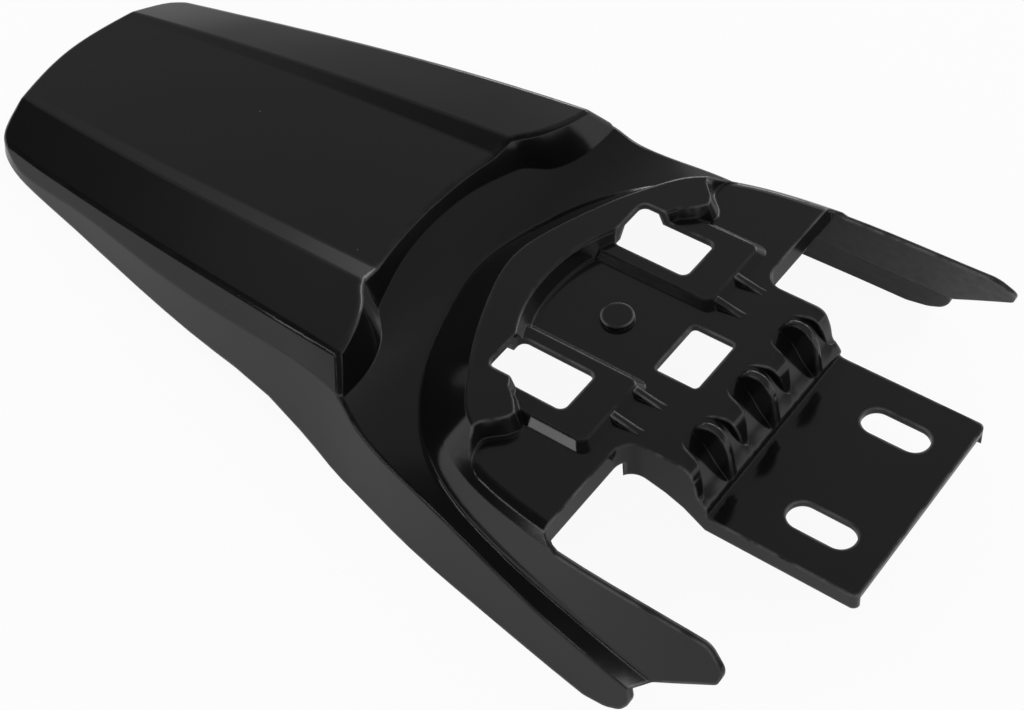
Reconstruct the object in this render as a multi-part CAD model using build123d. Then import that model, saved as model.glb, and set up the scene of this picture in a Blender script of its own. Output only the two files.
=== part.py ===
from build123d import *
import os
from math import hypot

# Rear fender of a light off-road motorcycle, moulded in one piece of gloss black plastic.
# X runs forward, Y to the left of the machine and Z up. The origin is the middle of the
# mounting plate's front edge, on its top face. Sizes are in millimetres.

WALL = 2.5

# Skirt: the leaning side wall that runs round the whole fender
TAIL_X = -398.5
SKIRT_FRONT_X = 12.0
SKIRT_LEAN = 0.2
SKIRT_SPAN = 45.0

# Tail shell: the raised rear half, with a slightly sunk middle panel
TAIL_TOP_Z = 18.4
SHELL_TOP_Z = 31.0
SHELL_HALF_WIDTH = 73.5
TAIL_HALF_WIDTH = 47.5
CREASE_Y = 39.0
PANEL_STEP = 2.2
BEVEL_SLOPE = 1.45
SHELL_FRONT_X = -204.5
SHELL_FRONT_LEAN = 0.42
CREASE_ROUND = 4.0
PANEL_EDGE_ROUND = 3.0
SHELL_FRONT_ROUND = 2.0
TAIL_ROUND = 2.0

# Collar: the horseshoe ring round the deck
COLLAR_Z = 27.2
COLLAR_REAR_X = -165.5
COLLAR_FOOT_Z = -20.0
COLLAR_FOOT_REAR_X = -219.5
SHOULDER_Z = 16.0
POCKET_REAR_X = -147.8
POCKET_LEAN = 0.35
POCKET_ROUND = 1.0
COLLAR_ROUND = 1.5
COLLAR_FOOT_ROUND = 2.0
GUTTER_EDGE_ROUND = 1.5

# Deck and its two raised pads
DECK_Z = 20.0
DECK_FRONT_X = -88.8
DECK_EDGE_ROUND = 5.0
PAD_RISE = 2.8
PAD_FRONT_X = -97.7
PAD_REAR_X = -146.0
PAD_INNER_Y = 21.7
PAD_OUTER_Y = 53.5
PAD_LEAN = 1.0
PAD_ROUND = 0.8

# Mounting plate and the step up to the deck
PLATE_WIDTH = 85.0
FRONT_STRIP_REAR_X = -94.0
NOTCH_ROUND = 7.0
FLANGE_DEPTH = 7.0
FRONT_FLANGE_Z = 11.0
PLATE_CORNER_ROUND = 2.5
SLOT_LENGTH = 25.5
SLOT_WIDTH = 11.6
SLOT_SPACING = 48.0
SLOT_X = -24.1

# Fins that brace the step
FIN_SPACING = 27.0
FIN_THICK = 3.0
FIN_CREST_Z = 26.4
FIN_ROUND = 0.8

# Openings in the deck
SIDE_HOLE_X = (-142.6, -111.2)
SIDE_HOLE_Y = (27.0, 46.3)
SIDE_HOLE_ROUND = 3.0
SQUARE_HOLE_X = (-97.9, -80.7)
SQUARE_HOLE_WIDTH = 24.3
SQUARE_HOLE_ROUND = 1.8

# Small details of the deck
BOSS_X = -121.5
BOSS_RADIUS = 6.0
BOSS_RISE = 1.8
RIB_LENGTH = 12.0
RIB_WIDTH = 2.6
RIB_RISE = 1.6
RIB_PLACES = ((-97.2, 37.7), (-97.0, 24.6))

# Arms
ARM_TOP_Z = 14.8
ARM_TIP_X = -16.2

FAR = 120.0
DEEP = -60.0


def grown(runs, distance):
    """Move every point of a half outline outward by a distance, along the outline's own normal."""
    flat = [point for run in runs for point in run]
    points = [p for i, p in enumerate(flat) if i == 0 or p != flat[i - 1]]
    moved = {}
    for i, (x, y) in enumerate(points):
        if i == 0:
            moved[(x, y)] = (x - distance, y)
            continue
        before, after = points[i - 1], points[min(i + 1, len(points) - 1)]
        dx, dy = after[0] - before[0], after[1] - before[1]
        length = hypot(dx, dy)
        moved[(x, y)] = (x - distance * dy / length, y + distance * dx / length)
    return [[moved[point] for point in run] for run in runs]


def shifted(runs, dx):
    """Move a half outline along X."""
    return [[(x + dx, y) for x, y in run] for run in runs]


def outline(z, runs):
    """Closed wire at a height, mirrored about Y = 0, from runs of points on its +Y side.

    The first run starts at Y = 0 and crosses it as one smooth curve."""
    first = [Vector(x, y, z) for x, y in runs[0]]
    edges = [Spline(*[Vector(p.X, -p.Y, z) for p in reversed(first[1:])], *first)]
    for run in runs[1:]:
        for side in (1, -1):
            points = [Vector(x, side * y, z) for x, y in run]
            edges.append(Line(*points) if len(points) == 2 else Spline(*points))
    x, y = runs[-1][-1]
    edges.append(Line((x, y, z), (x, -y, z)))
    return Wire(edges)


def between(low_z, low_runs, high_z, high_runs):
    """Solid between two outlines at two heights, with straight walls."""
    return Solid.make_loft([outline(low_z, low_runs), outline(high_z, high_runs)], ruled=True)


def section(x, points):
    """Closed cross-section at X, mirrored about Y = 0, from (y, z) points that start at Y = 0."""
    left = [(x, y, z) for y, z in points]
    right = [(x, -y, z) for y, z in reversed(points) if y > 0]
    return Wire(Polyline(*left, *right, close=True).edges())


def side_profile(points, half_width):
    """Solid from an (x, z) outline, extruded to both sides of Y = 0."""
    face = make_face(Polyline(*[(x, 0, z) for x, z in points], close=True))
    return extrude(face, half_width, dir=(0, 1, 0), both=True)


def sunk(points, inset):
    """Move a chain of (y, z) points inward by the wall, keeping its corners sharp."""
    lines = []
    for (ya, za), (yb, zb) in zip(points[:-1], points[1:]):
        length = hypot(yb - ya, zb - za)
        ny, nz = (zb - za) / length, -(yb - ya) / length
        lines.append((ya + ny * inset, za + nz * inset, yb - ya, zb - za))
    moved = [(0.0, lines[0][1])]
    for (y1, z1, dy1, dz1), (y2, z2, dy2, dz2) in zip(lines[:-1], lines[1:]):
        cross = dy1 * dz2 - dz1 * dy2
        k = ((y2 - y1) * dz2 - (z2 - z1) * dy2) / cross
        moved.append((y1 + k * dy1, z1 + k * dz1))
    y, z, dy, dz = lines[-1]
    moved.append((y + dy, z + dz))
    return moved


def rounded(body, radius, points):
    """Round the edges nearest to some points, on both sides of Y = 0."""
    edges = []
    for x, y, z in points:
        for side in (1, -1):
            spot = Vertex(x, side * y, z)
            edge = min(body.edges(), key=lambda e: e.distance_to(spot))
            if edge not in edges:
                edges.append(edge)
    return body.fillet(radius, edges)


def skirt(inset):
    """Everything inside the leaning side wall, tail end included."""
    runs = [
        [(TAIL_X, 0), (TAIL_X + 3.3, 24), (TAIL_X + 8.6, 42), (TAIL_X + 12.5, 50), (TAIL_X + 18, 55.3),
         (TAIL_X + 28, 59), (-341, 63.6), (-285, 72.9), (-230, 79.8), (-184.5, 84.6), (-147, 91.7),
         (-110, 96.2), (-74, 99.5), (SKIRT_FRONT_X, 103.5)],
    ]
    spread = SKIRT_LEAN * SKIRT_SPAN
    return between(-SKIRT_SPAN, grown(runs, spread - inset), SKIRT_SPAN, grown(runs, -spread - inset))


def gutter(inset):
    """The low band between the collar and the shell, falling forward along the arms."""
    xs = (-222, -198, -188, -181, -174, -163, -147, -110, -74, SKIRT_FRONT_X + 8)
    heights = {
        0: (24, 22.5, 16, 11.5, 9.5, 9, 8.5, 8, 8, 8),
        60: (21, 21.5, 18.5, 16.5, 12, 9.5, 9, 8, 7, 7),
        120: (4, 15, 25.5, 26, 17, 3, -4, -24, -32, -36),
    }
    wires = []
    for y in (-120, -60, 0, 60, 120):
        top = [Vector(x, y, z - inset) for x, z in zip(xs, heights[abs(y)])]
        low_front, low_rear = Vector(xs[-1], y, DEEP), Vector(xs[0], y, DEEP)
        edges = [Spline(*top), Line(top[-1], low_front), Line(low_front, low_rear), Line(low_rear, top[0])]
        wires.append(Wire(edges))
    return Solid.make_loft(wires)


def shell(inset):
    """The raised tail shell: sunk middle panel, side panels and bevels, with its front wall."""
    stations = [
        (TAIL_X - 10, TAIL_TOP_Z - 0.5, 0.05, 27.0, 4.0, TAIL_HALF_WIDTH - 1, 13.0),
        (-340, 23.0, 0.4, 33.5, 5.0, 57.5, 18.6),
        (-270, 27.2, 1.3, 37.0, 7.0, 66.0, 25.2),
        (-175, SHELL_TOP_Z + 0.8, PANEL_STEP + 0.1, CREASE_Y + 0.5, 9.0, SHELL_HALF_WIDTH + 0.5, 31.2),
    ]
    wires = []
    for x, middle_z, step, crease_y, crease_width, edge_y, edge_z in stations:
        top = [
            (0, middle_z),
            (crease_y - crease_width / 2, middle_z),
            (crease_y + crease_width / 2, middle_z + step),
            (edge_y, edge_z),
            (edge_y + 35, edge_z - 35 * BEVEL_SLOPE),
        ]
        low = sunk(top, inset)
        wires.append(section(x, low + [(low[-1][0], DEEP)]))
    body = Solid.make_loft(wires)
    front = [
        [(SHELL_FRONT_X, 0), (SHELL_FRONT_X + 0.9, 18), (SHELL_FRONT_X + 3.0, 31), (SHELL_FRONT_X + 4.3, 37),
         (SHELL_FRONT_X + 6.3, 43.5), (-193.8, 49), (-189.6, 56.5), (-186.9, 64.5), (-185.2, 73),
         (-183.5, 90), (-182, FAR)],
        [(-182, FAR), (TAIL_X - 30, FAR)],
    ]
    lean = SHELL_FRONT_LEAN
    low_z, high_z = -30.0, 40.0
    wall = between(low_z, shifted(front, (SHELL_TOP_Z - low_z) * lean - inset),
                   high_z, shifted(front, (SHELL_TOP_Z - high_z) * lean - inset))
    return body & wall & skirt(inset)


def island(inset, top_z):
    """The horseshoe island, collar and arms: its wall leans far out at the rear, little at the arms.

    Beside the deck a bevel joins its wall to the deck, above the shoulder."""
    top = [
        [(COLLAR_REAR_X, 0), (-160.5, 21.5), (-152.3, 40.5), (-142.5, 57.5), (-136.5, 65.5),
         (-129.5, 70.5), (-119.5, 74), (-105, 76.5), (-52, 80), (5, 82.5)],
    ]
    shoulder = [
        [(-178.3, 0), (-172.5, 25.4), (-164, 45), (-153, 61.5), (-144.5, 71), (-135.5, 78),
         (-124.5, 83.2), (-109, 87.2), (-52, 91.6), (5, 94.3)],
    ]
    foot = [
        [(COLLAR_FOOT_REAR_X, 0), (-210.5, 38), (-197.5, 66.5), (-182, 81), (-166, 88.5), (-147, 92.5),
         (-128, 94), (-107, 95.5), (-52, 101.3), (5, 105)],
    ]
    side = 0.8 * inset
    low = between(COLLAR_FOOT_Z, grown(foot, -side), SHOULDER_Z, grown(shoulder, -side))
    high = between(SHOULDER_Z, grown(shoulder, -side), COLLAR_Z, grown(top, -side))
    return (low + high) & side_profile([(-230, DEEP), (-230, top_z), (5, top_z), (5, DEEP)], FAR)


def pocket(inset):
    """The sunken deck inside the collar, open to the front and to the sides past the collar's ends."""
    runs = [
        [(POCKET_REAR_X, 0), (POCKET_REAR_X + 1.5, 14), (-141.5, 26.5), (-135, 38), (-128, 49)],
        [(-128, 49), (-122.5, 53.5), (-119.5, 58)],
        [(-119.5, 58), (-122, 64), (-127, 69), (-126, 77), (-121.5, 83)],
        [(-121.5, 83), (-100, FAR)],
        [(-100, FAR), (20, FAR)],
    ]
    floor = DECK_Z - inset
    top = COLLAR_Z + 3
    return between(floor, grown(runs, inset), top, grown(runs, inset + (top - floor) * POCKET_LEAN))


def pads(inset):
    """Two raised pads on the deck, which run back into the collar."""
    height = DECK_Z + PAD_RISE - inset
    solids = []
    for side in (1, -1):
        middle_y = side * (PAD_INNER_Y + PAD_OUTER_Y) / 2
        middle_x = (PAD_FRONT_X + PAD_REAR_X) / 2
        length = PAD_FRONT_X - PAD_REAR_X - 2 * inset
        width = PAD_OUTER_Y - PAD_INNER_Y - 2 * inset
        drop = 10.0
        grow = 2 * drop * PAD_LEAN
        high = Pos(middle_x, middle_y, height) * RectangleRounded(length, width, 3)
        low = Pos(middle_x, middle_y, height - drop) * RectangleRounded(length + grow, width + grow, 6)
        solids.append(loft([low, high]))
    return solids


def front_plan(inset):
    """Plan of the plate and the deck strip behind it, with round notch corners."""
    y = PLATE_WIDTH / 2 - inset
    x = DECK_FRONT_X - inset
    rear = FRONT_STRIP_REAR_X - inset
    wide = 72.0 + inset
    nose = 6 * inset
    points = [(rear, wide), (x, wide), (x, y), (nose, y), (nose, -y), (x, -y), (x, -wide), (rear, -wide)]
    face = make_face(Polyline(*points, close=True))
    notch = [v for v in face.vertices() if abs(v.X - x) < 0.01 and abs(abs(v.Y) - y) < 0.01]
    face = fillet(notch, NOTCH_ROUND + inset)
    if inset:
        return face
    return fillet([v for v in face.vertices() if abs(v.X) < 0.01], PLATE_CORNER_ROUND)


def fin_places():
    """Y of each fin."""
    return [i * FIN_SPACING for i in (-1, 0, 1)]


def profile_solid(points, inset):
    """Solid below a smooth side profile from the deck down to the plate, sunk by the wall."""
    moved = [Vector(x - 0.65 * inset, 0, z - inset) for x, z in points]
    curve = Spline(*moved, tangents=[(1, 0, 0), (1, 0, 0)])
    rear, nose = Vector(-160, 0, moved[0].Z), Vector(30, 0, moved[-1].Z)
    low_nose, low_rear = Vector(30, 0, DEEP), Vector(-160, 0, DEEP)
    chain = [Line(rear, moved[0]), curve, Line(moved[-1], nose), Line(nose, low_nose),
             Line(low_nose, low_rear), Line(low_rear, rear)]
    return extrude(make_face(chain), FAR, dir=(0, 1, 0), both=True)


def troughs(inset):
    """Upright columns over the trough round each fin: narrow at the rear, meeting at the front."""
    half = FIN_SPACING / 2
    side = [(-73.5, 4.4), (-71.9, 6.6), (-68.8, 8.4), (-64.5, 9.8), (-61.0, 11.4)]
    side = [(x - 0.3 * inset, y + inset) for x, y in side if y + inset < half]
    side.append((-59.4 - 1.2 * inset, half))
    rear = (-74.5 - inset, 0)
    loop = Spline((side[-1][0], -side[-1][1]), *[(x, -y) for x, y in reversed(side[:-1])], rear, *side)
    back = Line(side[-1], (side[-1][0], -half))
    column = extrude(Pos(0, 0, DEEP) * make_face([loop, back]), FAR, dir=(0, 0, 1))
    ahead = Pos(side[-1][0], 0, 0) * Box(60, 2 * FAR, FAR, align=(Align.MIN, Align.CENTER, Align.CENTER))
    return [Pos(0, y, 0) * column for y in fin_places()] + [ahead]


def front(inset):
    """Deck strip, step and plate: a steep step with a sloping trough round each fin."""
    shape = extrude(Pos(0, 0, -FLANGE_DEPTH - inset) * front_plan(inset), FAR)
    steep = [(-67.5, DECK_Z), (-64.2, 19.0), (-62.1, 15.5), (-60.9, 11.0), (-59.4, 6.6), (-56.6, 2.2), (-53.0, 0)]
    sloping = [(-72.5, DECK_Z), (-69.3, 19.0), (-66.5, 16.6), (-60.2, 7.8), (-56.6, 2.2), (-53.0, 0)]
    wall = (shape & profile_solid(steep, inset)) - troughs(inset)
    slope = shape & profile_solid(sloping, inset) & (Part() + troughs(inset))
    return wall + slope


def fins():
    """Three upright fins that brace the step, each with a crest like a shark's fin."""
    crest = Spline((-72.6, DECK_Z - 0.5), (-70.2, 24.0), (-67.5, 25.8), (-64.6, FIN_CREST_Z), (-62.2, 26.0),
                   (-60.4, 24.4), (-58.8, 22.2), (-57.5, 19.3), (-56.2, 12.6), (-55.3, 7.8))
    back = Polyline((-55.3, 7.8), (-56.0, 5.5), (-58.5, 3.0), (-66.0, 14.0), (-71.0, DECK_Z - 1.5),
                    (-72.6, DECK_Z - 0.5))
    fin = extrude(Plane.XZ * make_face([crest, back]), FIN_THICK / 2, both=True)
    rim = [e for e in fin.edges() if e.length > 20 and e.position_at(0.5).Z > 20]
    fin = fillet(rim, FIN_ROUND)
    return [Pos(0, y, 0) * fin for y in fin_places()]


def under_front():
    """What is cleared below the flanges of the deck's front, the step and the plate."""
    line = [
        (DECK_FRONT_X - 6, DEEP), (DECK_FRONT_X - 6, 5.0), (-81.0, 4.0), (-73.0, 2.0), (-66.0, -1.0),
        (-57.5, -FLANGE_DEPTH), (10, -FLANGE_DEPTH), (10, DEEP),
    ]
    x = DECK_FRONT_X
    beside = [(x - 6, DEEP), (x - 6, FRONT_FLANGE_Z), (x + 1, FRONT_FLANGE_Z), (x + 1, DEEP)]
    return [side_profile(line, 66.0), side_profile(beside, FAR) & island(WALL, COLLAR_Z)]


def side_trim():
    """The side view of the fender: what lies inside is kept."""
    points = [
        (TAIL_X - 5, 40), (TAIL_X - 5, 9.5), (-371, 7.6), (-313, 3), (-260, 0), (-234, -1), (-217, -3.5),
        (-201, -9), (-185, -15.2), (-152, -22.8), (-123, -26.5), (-63, -29.5), (-54, -28), (-48, -25),
        (-44.5, -19.5), (-46, -14), (ARM_TIP_X - 1.4, 3.9), (ARM_TIP_X, 8.8), (ARM_TIP_X - 7, ARM_TOP_Z),
        (-83, ARM_TOP_Z), (DECK_FRONT_X, 18), (DECK_FRONT_X, 40),
    ]
    return side_profile(points, FAR + 20)


def rounded_hole(x_range, width, corner, y):
    """Cutter for an upright rounded opening through the deck."""
    middle = (x_range[0] + x_range[1]) / 2
    sketch = Pos(middle, y, DEEP) * RectangleRounded(x_range[1] - x_range[0], width, corner)
    return extrude(sketch, FAR)


def openings():
    """The two large openings, the square one and the plate's two slots."""
    side_width = SIDE_HOLE_Y[1] - SIDE_HOLE_Y[0]
    side_middle = (SIDE_HOLE_Y[1] + SIDE_HOLE_Y[0]) / 2
    cuts = [rounded_hole(SQUARE_HOLE_X, SQUARE_HOLE_WIDTH, SQUARE_HOLE_ROUND, 0)]
    slot = extrude(Pos(0, 0, DEEP) * SlotOverall(SLOT_LENGTH, SLOT_WIDTH), FAR)
    for side in (1, -1):
        cuts.append(rounded_hole(SIDE_HOLE_X, side_width, SIDE_HOLE_ROUND, side * side_middle))
        cuts.append(Pos(SLOT_X, side * SLOT_SPACING / 2, 0) * slot)
    return cuts


def deck_details():
    """The low round boss and the four wedge ribs on the deck."""
    boss = Pos(BOSS_X, 0, DECK_Z - 1) * Cylinder(BOSS_RADIUS, 1 + BOSS_RISE,
                                                 align=(Align.CENTER, Align.CENTER, Align.MIN))
    details = [boss]
    for x, y in RIB_PLACES:
        wedge = Polyline((x, DECK_Z - 1), (x, DECK_Z + RIB_RISE + 1), (x + RIB_LENGTH, DECK_Z), (x + RIB_LENGTH, DECK_Z - 1), close=True)
        rib = extrude(make_face(Plane.XZ * wedge), RIB_WIDTH / 2, both=True)
        details += [Pos(0, y, 0) * rib, Pos(0, -y, 0) * rib]
    return details


def rear_form():
    """The outside of the tail shell, with its long edges rounded."""
    body = rounded(shell(0), CREASE_ROUND, [(-295, 32.9, 25.8), (-294, 39.2, 26.8)])
    body = rounded(body, PANEL_EDGE_ROUND, [(-283.6, 64.5, 24.0)])
    tail_edges = [(-394.7, 0, 19), (-390, 29.2, 19.4), (-386, 42.6, 16.8), (-278.5, 70.1, 17.3)]
    body = rounded(body, TAIL_ROUND, tail_edges)
    front_edges = [(SHELL_FRONT_X, 0, 30.5), (-200, 38, 31.8), (-189.6, 56.5, 32.2), (-182.5, 77, 25.6)]
    return rounded(body, SHELL_FRONT_ROUND, front_edges)


def front_form():
    """The outside of the gutter, the collar, the arms and the deck, with long edges rounded."""
    body = (gutter(0) + (island(0, COLLAR_Z) - pocket(0)) + pads(0)) & skirt(0)
    body = rounded(body, GUTTER_EDGE_ROUND, [(-86.9, 100.3, -7.8)])
    body = rounded(body, COLLAR_FOOT_ROUND, [(-182.5, 0, 12.3)])
    body = rounded(body, COLLAR_ROUND, [(COLLAR_REAR_X, 0, COLLAR_Z)])
    body = rounded(body, DECK_EDGE_ROUND, [(-60.8, 87, DECK_Z)])
    pad_z = DECK_Z + PAD_RISE
    pad_edges = [(-112, PAD_OUTER_Y, pad_z), (PAD_FRONT_X, 37, pad_z), (-121, PAD_INNER_Y, pad_z)]
    body = rounded(body, PAD_ROUND, pad_edges)
    body = rounded(body, POCKET_ROUND, [(-150, 0, COLLAR_Z)])
    return rounded(body, POCKET_ROUND, [(POCKET_REAR_X, 0, DECK_Z), (-125.6, 67, DECK_Z)])


def fender():
    """The whole moulding: the outer forms, less the same forms sunk by the wall."""
    behind = side_profile([(-230, DEEP), (-230, 50), (DECK_FRONT_X - WALL, 50), (DECK_FRONT_X - WALL, DEEP)], FAR)
    ahead = side_profile([(DECK_FRONT_X, DEEP), (DECK_FRONT_X, 50), (20, 50), (20, DEEP)], FAR)
    inner = (gutter(WALL) & skirt(WALL)) + shell(WALL)
    inner_island = ((island(WALL, COLLAR_Z - WALL) - pocket(WALL)) + pads(WALL)) & behind
    notch = island(WALL, COLLAR_Z) & ahead
    body = ((rear_form() + front_form()) - [inner, inner_island, notch]) & side_trim()
    inner_front = front(WALL)
    body = body + (front(0) - inner_front) + fins() + deck_details()
    return body - [inner_front, *under_front(), *openings()]


os.makedirs("parts", exist_ok=True)
export_step(fender(), "parts/rear_fender.step")
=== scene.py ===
import math
import bmesh
import bpy
from mathutils import Matrix, Vector
from mathutils.bvhtree import BVHTree
from mathutils.geometry import barycentric_transform


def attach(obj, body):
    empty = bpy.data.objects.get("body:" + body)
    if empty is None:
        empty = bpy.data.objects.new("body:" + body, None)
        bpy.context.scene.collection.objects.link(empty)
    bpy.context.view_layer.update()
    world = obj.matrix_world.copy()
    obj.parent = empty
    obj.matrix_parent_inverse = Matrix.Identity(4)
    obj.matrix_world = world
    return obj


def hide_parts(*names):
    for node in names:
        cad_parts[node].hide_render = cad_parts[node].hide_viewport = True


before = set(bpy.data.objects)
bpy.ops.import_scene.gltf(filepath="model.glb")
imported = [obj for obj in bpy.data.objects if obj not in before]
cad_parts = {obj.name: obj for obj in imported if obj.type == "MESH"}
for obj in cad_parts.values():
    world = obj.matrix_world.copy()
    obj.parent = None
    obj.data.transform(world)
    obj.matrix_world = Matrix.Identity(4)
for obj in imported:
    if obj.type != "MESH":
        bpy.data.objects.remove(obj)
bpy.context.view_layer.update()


# Fender moulding
# One injection-moulded shell about 2.5 mm thick, in black polypropylene with a polished mould finish.
# It bolts to the frame through the plate's two slots and is left as it comes out of the mould.
def linear(hex_colour):
    """Linear red, green, blue and alpha from an sRGB hex colour."""
    parts = [int(hex_colour[i:i + 2], 16) / 255 for i in (1, 3, 5)]
    return [c / 12.92 if c <= 0.04045 else ((c + 0.055) / 1.055) ** 2.4 for c in parts] + [1.0]


def add_node(tree, kind, settings=None, links=None):
    """Add a node: settings are properties or socket values by name, links go from sockets to its inputs."""
    node = tree.nodes.new(kind)
    for name, value in (settings or {}).items():
        if isinstance(name, int) or name in node.inputs:
            node.inputs[name].default_value = value
        else:
            setattr(node, name, value)
    for name, socket in (links or {}).items():
        tree.links.new(socket, node.inputs[name])
    return node


# Moulded polypropylene: a deep, nearly neutral black. The polished half of the mould leaves the upper
# side glossy, with a slow waviness where the plastic sank and an orange peel too fine to see by itself.
# The core half leaves the underside and the arms' inner faces satin, with lines from its milling.
moulded_polypropylene = bpy.data.materials.new("moulded_polypropylene_gloss_black")
moulded_polypropylene.use_nodes = True
plastic = moulded_polypropylene.node_tree
shader = plastic.nodes["Principled BSDF"]
shader.inputs["IOR"].default_value = 1.45
surface = add_node(plastic, "ShaderNodeTexCoord")
metres = surface.outputs["Object"]


def mould_noise(spacing_mm, detail):
    """Soft noise whose swells are about as far apart as the given spacing."""
    settings = {"Scale": 1000 / spacing_mm, "Detail": detail, "Roughness": 0.5}
    return add_node(plastic, "ShaderNodeTexNoise", settings, {"Vector": metres}).outputs["Fac"]


def moulded_range(value, low, high, to_low, to_high):
    """A value stretched from one range to another and held inside it."""
    settings = {"From Min": low, "From Max": high, "To Min": to_low, "To Max": to_high}
    return add_node(plastic, "ShaderNodeMapRange", settings, {"Value": value}).outputs["Result"]


# The core side: faces that look down, and the inner faces of the two arms, which look towards the
# middle from about 80 mm out.
face_way = add_node(plastic, "ShaderNodeSeparateXYZ", None, {"Vector": surface.outputs["Normal"]})
face_at = add_node(plastic, "ShaderNodeSeparateXYZ", None, {"Vector": metres})
downward = moulded_range(face_way.outputs["Z"], -0.12, -0.20, 0.0, 1.0)
to_middle = add_node(
    plastic, "ShaderNodeMath", {"operation": "MULTIPLY"}, {0: face_way.outputs["Y"], 1: face_at.outputs["Y"]}
)
inward = moulded_range(to_middle.outputs[0], -0.075, -0.082, 0.0, 1.0)
core_side = add_node(plastic, "ShaderNodeMath", {"operation": "MAXIMUM"}, {0: downward, 1: inward}).outputs[0]

# Roughness: gloss 0.10 to 0.15 over patches of about 30 mm, satin near 0.4 on the core side.
gloss = moulded_range(mould_noise(30, 3), 0.35, 0.65, 0.10, 0.15)
satin = moulded_range(mould_noise(4, 4), 0.3, 0.7, 0.34, 0.46)
finish = add_node(plastic, "ShaderNodeMix", {"data_type": "FLOAT"}, {"Factor": core_side, "A": gloss, "B": satin})
plastic.links.new(finish.outputs["Result"], shader.inputs["Roughness"])

# Colour: the black pales a little in flow marks about 50 mm apart.
black = add_node(plastic, "ShaderNodeMix", {"data_type": "RGBA"}, {"Factor": mould_noise(50, 2)})
black.inputs["A"].default_value = linear("#0b0b0c")
black.inputs["B"].default_value = linear("#0e0e0f")

# A few specks of dust lie on it, at most one in each cell of 14 mm and in about one cell of five.
SPECK_CELL_MM = 14
specks = add_node(plastic, "ShaderNodeTexVoronoi", {"Scale": 1000 / SPECK_CELL_MM}, {"Vector": metres})
cell = add_node(plastic, "ShaderNodeSeparateColor", None, {"Color": specks.outputs["Color"]})
chosen = moulded_range(cell.outputs["Red"], 0.80, 0.82, 0.0, 1.0)
spot = moulded_range(specks.outputs["Distance"], 0.012, 0.022, 1.0, 0.0)
speck = add_node(plastic, "ShaderNodeMath", {"operation": "MULTIPLY"}, {0: spot, 1: chosen})

# Sharp outer edges are painted a little paler over about 1 mm. This is a painted highlight along each edge, and also
# the rubbing of the mould's parting and trimming.
# The paleness comes and goes along an edge, over about 9 mm.
EDGE_HIGHLIGHT_AND_RUB_WIDTH = 0.0011
edge_open = add_node(
    plastic, "ShaderNodeAmbientOcclusion", {"Distance": EDGE_HIGHLIGHT_AND_RUB_WIDTH, "inside": True, "samples": 6}
)
on_edge = moulded_range(edge_open.outputs["AO"], 0.93, 0.60, 0.0, 1.0)
patchy = moulded_range(mould_noise(9, 3), 0.38, 0.6, 0.15, 1.0)
edge_highlight_and_rub = add_node(plastic, "ShaderNodeMath", {"operation": "MULTIPLY"}, {0: on_edge, 1: patchy})

highlit_and_rubbed_black = add_node(
    plastic, "ShaderNodeMix", {"data_type": "RGBA"}, {"Factor": edge_highlight_and_rub.outputs[0], "A": black.outputs["Result"]}
)
# The pale edge colour is a painted edge highlight as well as rubbed wear.
highlit_and_rubbed_black.inputs["B"].default_value = linear("#585859")
dusty = add_node(
    plastic, "ShaderNodeMix", {"data_type": "RGBA"}, {"Factor": speck.outputs[0], "A": highlit_and_rubbed_black.outputs["Result"]}
)
dusty.inputs["B"].default_value = linear("#5c5b58")
plastic.links.new(dusty.outputs["Result"], shader.inputs["Base Color"])

# Edges: a mould can't be cut sharp, so light rolls over about 0.8 mm on every edge.
EDGE_ROUNDING = 0.0008
edge = add_node(plastic, "ShaderNodeBevel", {"Radius": EDGE_ROUNDING, "samples": 6})

# Surface: swells up to 0.03 mm high about 35 mm apart, a 0.8 mm orange peel, and on the core side milling
# lines. They are drawn 4.4 mm apart, far wider than the real 0.2 mm, so that they show.
SWELL_HEIGHT = 0.00003
PEEL_HEIGHT = 0.000001
MILLING_HEIGHT = 0.00001
MILLING_SPACING_MM = 4.39823
WAVE_TURN = 20  # radians that a wave texture of scale 1 turns through in one unit
swell = add_node(
    plastic, "ShaderNodeBump", {"Strength": 1.0, "Distance": SWELL_HEIGHT},
    {"Height": mould_noise(35, 1), "Normal": edge.outputs["Normal"]},
)
peel = add_node(
    plastic, "ShaderNodeBump", {"Strength": 1.0, "Distance": PEEL_HEIGHT},
    {"Height": mould_noise(0.8, 2), "Normal": swell.outputs["Normal"]},
)
lines = add_node(
    plastic, "ShaderNodeTexWave",
    {
        "bands_direction": "Z", "Scale": 1000 * math.tau / WAVE_TURN / MILLING_SPACING_MM, "Distortion": 1.5,
        "Detail": 2.0, "Detail Scale": 4.0,
    },
    {"Vector": metres},
)
milled = add_node(plastic, "ShaderNodeMath", {"operation": "MULTIPLY"}, {0: lines.outputs["Fac"], 1: core_side})
milling = add_node(
    plastic, "ShaderNodeBump", {"Strength": 1.0, "Distance": MILLING_HEIGHT},
    {"Height": milled.outputs[0], "Normal": peel.outputs["Normal"]},
)
plastic.links.new(milling.outputs["Normal"], shader.inputs["Normal"])

# The arms' tips and the skirts' front ends are round, so the moulding is trimmed to round side outlines.
# Side view in metres, X forward and Z up: first the arm's tip, then the skirt's front end. The trim goes
# through from inside each arm to past the skirt.
ARC_STEPS = 10
ARM_TIP = [(-0.034, 0.0150), (-0.0232, 0.0148), (-0.0162, 0.0088), (-0.0176, 0.0039), (-0.0318, -0.0052)]
SKIRT_END = [
    (-0.0780, -0.0290), (-0.0630, -0.0295), (-0.0540, -0.0280), (-0.0480, -0.0250), (-0.0445, -0.0195),
    (-0.0456, -0.0150),
]
TRIM_INNER, TRIM_OUTER = 0.075, 0.125


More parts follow.
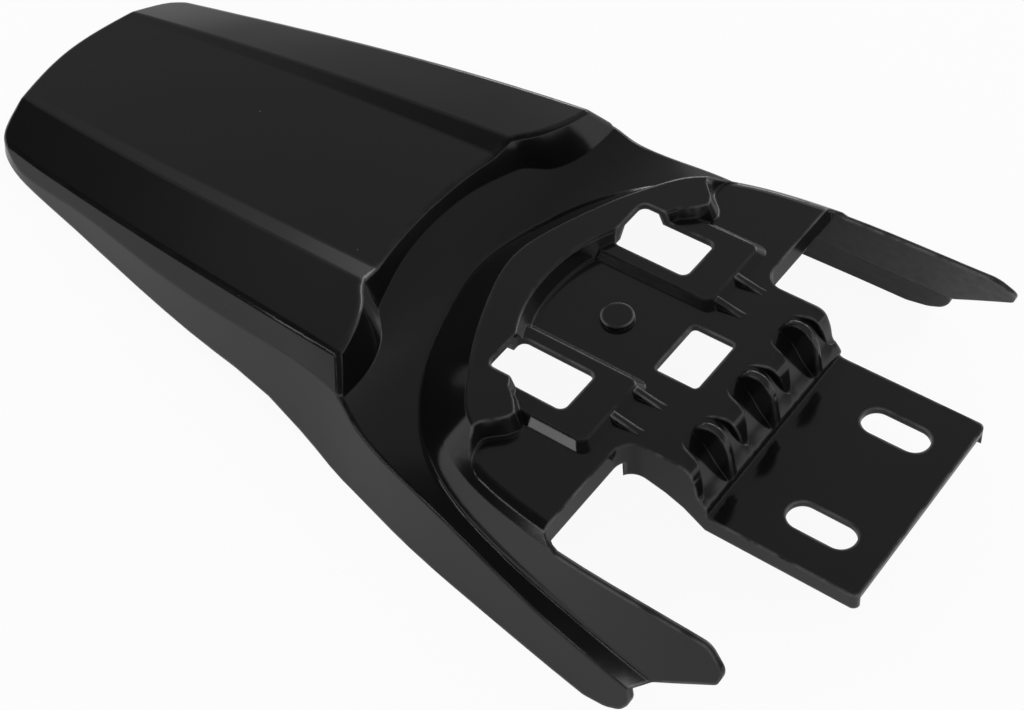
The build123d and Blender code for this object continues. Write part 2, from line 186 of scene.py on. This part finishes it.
def rounded_run(points, radii):
    """A run of points in the side view, with an arc of the given radius at each inner point."""
    run = [points[0]]
    for before, corner, after, radius in zip(points, points[1:], points[2:], radii):
        back_way, on_way = (before - corner).normalized(), (after - corner).normalized()
        half = back_way.angle(on_way) / 2
        centre = corner + (back_way + on_way).normalized() * radius / math.sin(half)
        start = corner + back_way * radius / math.tan(half)
        end = corner + on_way * radius / math.tan(half)
        for step in range(ARC_STEPS + 1):
            spoke = (start - centre).lerp(end - centre, step / ARC_STEPS).normalized()
            run.append(centre + spoke * radius)
    return run + [points[-1]]


cutter_mesh = bpy.data.meshes.new("round_ends_cutter")
cutter_form = bmesh.new()
for outline, radii, corners in (
    (ARM_TIP, (0.008, 0.004, 0.0035), [(0.0, -0.0100), (0.0, 0.030), (-0.034, 0.030)]),
    (SKIRT_END, (0.020, 0.012, 0.009, 0.006), [(-0.030, -0.015), (-0.030, -0.045), (-0.078, -0.045)]),
):
    run = rounded_run([Vector(point) for point in outline], radii) + [Vector(point) for point in corners]
    for side in (1, -1):
        inner = [cutter_form.verts.new((x, side * TRIM_INNER, z)) for x, z in run]
        outer = [cutter_form.verts.new((x, side * TRIM_OUTER, z)) for x, z in run]
        cutter_form.faces.new(inner)
        cutter_form.faces.new(outer[::-1])
        for i in range(len(run)):
            j = (i + 1) % len(run)
            cutter_form.faces.new((inner[j], inner[i], outer[i], outer[j]))
bmesh.ops.recalc_face_normals(cutter_form, faces=cutter_form.faces)
cutter_form.to_mesh(cutter_mesh)
cutter_form.free()
cutter = bpy.data.objects.new("round_ends_cutter", cutter_mesh)
bpy.context.collection.objects.link(cutter)

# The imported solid's faces are joined along their shared edges, so that the trim leaves a closed shell.
JOIN_WITHIN = 0.000001
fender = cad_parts["rear_fender"]
packed = fender.data
joined_mesh = bpy.data.meshes.new("fender_moulding")
joined_form = bmesh.new()
joined_form.from_mesh(packed)
joined_form.transform(fender.matrix_world)
bmesh.ops.remove_doubles(joined_form, verts=joined_form.verts, dist=JOIN_WITHIN)
joined_form.to_mesh(joined_mesh)
joined_form.free()
rough = bpy.data.objects.new("fender_moulding_rough", joined_mesh)
bpy.context.collection.objects.link(rough)
trim = rough.modifiers.new("round_ends", "BOOLEAN")
trim.operation = "DIFFERENCE"
trim.solver = "EXACT"
trim.object = cutter
graph = bpy.context.evaluated_depsgraph_get()
moulding_mesh = bpy.data.meshes.new_from_object(rough.evaluated_get(graph))
for spare in (rough, cutter):
    bpy.data.objects.remove(spare)

# Light rolls over the moulding as the solid's own surfaces say. Each corner takes its normal from the
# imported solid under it, and the newly cut rims take theirs from their own faces.
ON_SURFACE = 0.00002
SAME_WAY = 0.99
SMOOTH_RIM = 0.8
turn = fender.matrix_world.to_3x3()
packed_points = [fender.matrix_world @ v.co for v in packed.vertices]
packed_faces = [tuple(face.vertices) for face in packed.polygons]
packed_surface = BVHTree.FromPolygons(packed_points, packed_faces, epsilon=0.0)
normals = [None] * len(moulding_mesh.loops)
cut_rims = {}
for face in moulding_mesh.polygons:
    _, way, index, gap = packed_surface.find_nearest(face.center)
    if gap < ON_SURFACE and way.dot(face.normal) > SAME_WAY:
        under = packed.polygons[index]
        triangle = [packed_points[v] for v in under.vertices]
        rolled = [turn @ packed.corner_normals[loop].vector for loop in under.loop_indices]
        for loop in face.loop_indices:
            corner = moulding_mesh.vertices[moulding_mesh.loops[loop].vertex_index].co
            normals[loop] = barycentric_transform(corner, *triangle, *rolled).normalized()
    else:
        for loop in face.loop_indices:
            vertex = moulding_mesh.loops[loop].vertex_index
            cut_rims.setdefault(vertex, []).append((loop, face.normal.copy()))
for around in cut_rims.values():
    for loop, own in around:
        alike = [other for _, other in around if other.dot(own) > SMOOTH_RIM]
        normals[loop] = sum(alike, Vector()).normalized()
moulding_mesh.polygons.foreach_set("use_smooth", [True] * len(moulding_mesh.polygons))
moulding_mesh.normals_split_custom_set(normals)

moulding = bpy.data.objects.new("fender_moulding", moulding_mesh)
bpy.context.collection.objects.link(moulding)
for mesh in (moulding_mesh, packed):
    mesh.materials.clear()
    mesh.materials.append(moulded_polypropylene)
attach(moulding, "root")
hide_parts("rear_fender")


# Floor
# A wide sheet of matt white card. The fender lies on it on its tail edge and the two side skirts,
# so the card is tilted a little against the mounting plate.
REST_FRONT = Vector((-0.060, 0, -0.0296))
REST_REAR = Vector((-0.3965, 0, 0.0075))
FLOOR_HALF = 3.0
FLOOR_GAP = 0.0002
along = (REST_FRONT - REST_REAR).normalized()
up = along.cross(Vector((0, 1, 0)))
signs = ((-1, -1), (1, -1), (1, 1), (-1, 1))
card_corners = [REST_FRONT + along * a * FLOOR_HALF + Vector((0, b * FLOOR_HALF, 0)) for a, b in signs]
card_mesh = bpy.data.meshes.new("floor_card")
card_mesh.from_pydata([c - up * FLOOR_GAP for c in card_corners], [], [(0, 1, 2, 3)])
floor = bpy.data.objects.new("floor_card", card_mesh)
bpy.context.collection.objects.link(floor)
# The card shows white to the camera and pale in the gloss of the plastic, and keeps its soft shadow.
# From below it is clear, so that the fender's underside can be looked at.
GLOW_TO_CAMERA = 0.93
GLOW_IN_GLOSS = 0.25
card = bpy.data.materials.new("matt_white_card")
card.use_nodes = True
fibres = card.node_tree
paper = fibres.nodes["Principled BSDF"]
paper.inputs["Base Color"].default_value = linear("#d8d8d8")
paper.inputs["Roughness"].default_value = 0.9
paper.inputs["Specular IOR Level"].default_value = 0.2
rays = add_node(fibres, "ShaderNodeLightPath")
mirrored = add_node(
    fibres, "ShaderNodeMath", {"operation": "ADD"},
    {0: rays.outputs["Is Glossy Ray"], 1: rays.outputs["Is Transmission Ray"]},
)
in_gloss = add_node(fibres, "ShaderNodeMath", {"operation": "MULTIPLY", 1: GLOW_IN_GLOSS}, {0: mirrored.outputs[0]})
share = add_node(
    fibres, "ShaderNodeMath", {"operation": "MULTIPLY_ADD", 1: GLOW_TO_CAMERA},
    {0: rays.outputs["Is Camera Ray"], 2: in_gloss.outputs[0]},
)
glow = add_node(fibres, "ShaderNodeEmission", {"Color": (1, 1, 1, 1), "Strength": 1.0})
upper = add_node(fibres, "ShaderNodeMixShader", None, {0: share.outputs[0], 1: paper.outputs[0], 2: glow.outputs[0]})
card_side = add_node(fibres, "ShaderNodeNewGeometry")
clear = add_node(fibres, "ShaderNodeBsdfTransparent")
both_sides = add_node(
    fibres, "ShaderNodeMixShader", None,
    {0: card_side.outputs["Backfacing"], 1: upper.outputs[0], 2: clear.outputs[0]},
)
fibres.links.new(both_sides.outputs[0], fibres.nodes["Material Output"].inputs["Surface"])
card_mesh.materials.append(card)


# Light
# A plain studio, lit evenly, with a white backdrop all round. Above it the gloss mirrors a far side that
# falls from white to grey overhead and to near black behind the camera, with three soft boxes.
EVEN_LIGHT = 0.9
BACKDROP_TOP, BACKDROP_FADED = 0.09, 0.20
# How far towards the far side a mirrored ray points, and how light the room is there.
ROOM_TONES = ((0.0, 0.03), (0.22, 0.12), (0.32, 0.26), (0.48, 0.29), (0.6, 0.34), (0.69, 0.40), (0.76, 1.0))
world = bpy.data.worlds.new("studio")
bpy.context.scene.world = world
world.use_nodes = True
studio = world.node_tree
for node in list(studio.nodes):
    studio.nodes.remove(node)
ray_way = add_node(studio, "ShaderNodeTexCoord").outputs["Generated"]
far_side = add_node(studio, "ShaderNodeVectorMath", {"operation": "DOT_PRODUCT"}, {0: ray_way})
far_side.inputs[1].default_value = (0.0, 1.0, 0.0)
ramp = add_node(studio, "ShaderNodeValToRGB", None, {"Fac": far_side.outputs["Value"]})
stops = ramp.color_ramp.elements
stops[0].position, stops[0].color = ROOM_TONES[0][0], [ROOM_TONES[0][1]] * 3 + [1]
stops[1].position, stops[1].color = ROOM_TONES[-1][0], [ROOM_TONES[-1][1]] * 3 + [1]
for position, tone in ROOM_TONES[1:-1]:
    stops.new(position).color = [tone] * 3 + [1]
ray_parts = add_node(studio, "ShaderNodeSeparateXYZ", None, {"Vector": ray_way})
height = add_node(studio, "ShaderNodeMath", {"operation": "ABSOLUTE"}, {0: ray_parts.outputs["Z"]})
backdrop = add_node(
    studio, "ShaderNodeMapRange",
    {"From Min": BACKDROP_TOP, "From Max": BACKDROP_FADED, "To Min": 1.0, "To Max": 0.0},
    {"Value": height.outputs[0]},
)
walls = add_node(
    studio, "ShaderNodeMix", {"data_type": "RGBA"},
    {"Factor": backdrop.outputs["Result"], "A": ramp.outputs["Color"]},
)
walls.inputs["B"].default_value = (1, 1, 1, 1)
room = add_node(studio, "ShaderNodeBackground", {"Strength": 1.0}, {"Color": walls.outputs["Result"]})
even = add_node(studio, "ShaderNodeBackground", {"Strength": EVEN_LIGHT, "Color": (1, 1, 1, 1)})
white = add_node(studio, "ShaderNodeBackground", {"Strength": 1.0, "Color": (1, 1, 1, 1)})
studio_rays = add_node(studio, "ShaderNodeLightPath")
in_mirror = add_node(
    studio, "ShaderNodeMath", {"operation": "ADD"},
    {0: studio_rays.outputs["Is Glossy Ray"], 1: studio_rays.outputs["Is Transmission Ray"]},
)
lit = add_node(studio, "ShaderNodeMixShader", None, {0: in_mirror.outputs[0], 1: even.outputs[0], 2: room.outputs[0]})
seen = add_node(
    studio, "ShaderNodeMixShader", None,
    {0: studio_rays.outputs["Is Camera Ray"], 1: lit.outputs[0], 2: white.outputs[0]},
)
add_node(studio, "ShaderNodeOutputWorld", None, {"Surface": seen.outputs[0]})

# Each soft box has its place, its width and height in metres, and its power in watts. All face the
# middle of the fender.
LAMPS_FACE = Vector((-0.2, 0, 0))
for name, stand, size, watts in (
    ("far_soft_box", Vector((0.1, 1.7, 0.8)), (0.9, 0.5), 5.0),
    ("far_low_box", Vector((-1.06, 1.57, 0.36)), (0.6, 0.25), 2.0),
    ("near_strip_box", Vector((-0.95, -1.4, 0.9)), (1.3, 0.16), 2.4),
):
    lamp = bpy.data.lights.new(name, "AREA")
    lamp.shape = "RECTANGLE"
    lamp.size, lamp.size_y = size
    lamp.energy = watts
    box = bpy.data.objects.new(name, lamp)
    bpy.context.collection.objects.link(box)
    box.location = stand
    box.rotation_euler = (LAMPS_FACE - stand).to_track_quat("-Z", "Y").to_euler()


# Camera
# It stands in front of the right arm and looks down along the fender, as in the photograph.
CAMERA_AT = Vector((0.1617, -0.3753, 0.5334))
LENS_MM = 70.44
camera = bpy.data.objects.new("camera", bpy.data.cameras.new("camera"))
bpy.context.collection.objects.link(camera)
right = Vector((0.7969, 0.5998, -0.0724))
above = Vector((-0.412, 0.6272, 0.661))
back = Vector((0.4419, -0.4969, 0.7469))
camera.matrix_world = Matrix.Translation(CAMERA_AT) @ Matrix((right, above, back)).transposed().to_4x4()
camera.data.sensor_width = 36
camera.data.lens = LENS_MM
camera.data.clip_start = 0.01
bpy.context.scene.camera = camera
bpy.context.scene.view_settings.view_transform = "Standard"
